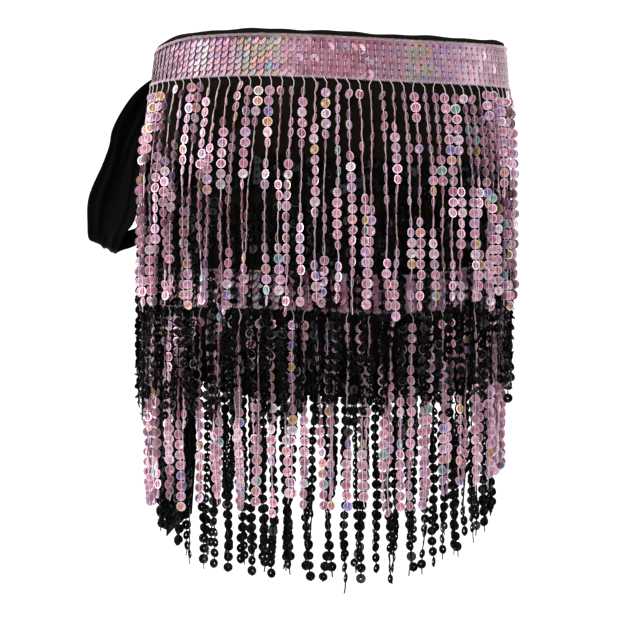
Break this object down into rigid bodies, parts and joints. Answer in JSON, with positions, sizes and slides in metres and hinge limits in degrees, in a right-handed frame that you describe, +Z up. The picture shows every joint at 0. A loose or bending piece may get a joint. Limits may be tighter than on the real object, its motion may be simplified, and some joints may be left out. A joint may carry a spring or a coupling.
{
  "type": "belly dance hip scarf",
  "caption": "Wrapped hip scarf with a waistband, tiered sequin fringes in pink and black, and a sash tied at the left.",
  "frame": {"origin": "centre of the waist, halfway up the waistband, where the wearer holds the scarf", "axes": "+Z up along the wearer; the front faces -Y; the bow is at -X, towards +Y"},
  "size_m": [0.3438, 0.2406, 0.4205],
  "materials": {
    "black_cloth": "matte knit cloth",
    "black_sash": "smooth matte cloth",
    "pink_sequins": "holographic pink film, glossy",
    "black_sequins": "black film, glossy"
  },
  "bodies": {
    "root": {"waistband": "black_cloth", "panel_front": "black_cloth", "panel_back": "black_cloth", "sequin_band_1": "pink_sequins", "sequin_band_2": "black_sequins", "sequin_band_3": "pink_sequins", "sequin_band_4": "black_sequins", "fringe_1": "pink_sequins", "fringe_2": "black_sequins", "fringe_3": "pink_sequins", "fringe_4": "black_sequins", "bow_knot": "black_sash", "bow_loop": "black_sash", "bow_tail_long": "black_sash", "bow_tail_short": "black_sash"}
  },
  "joints": []
}
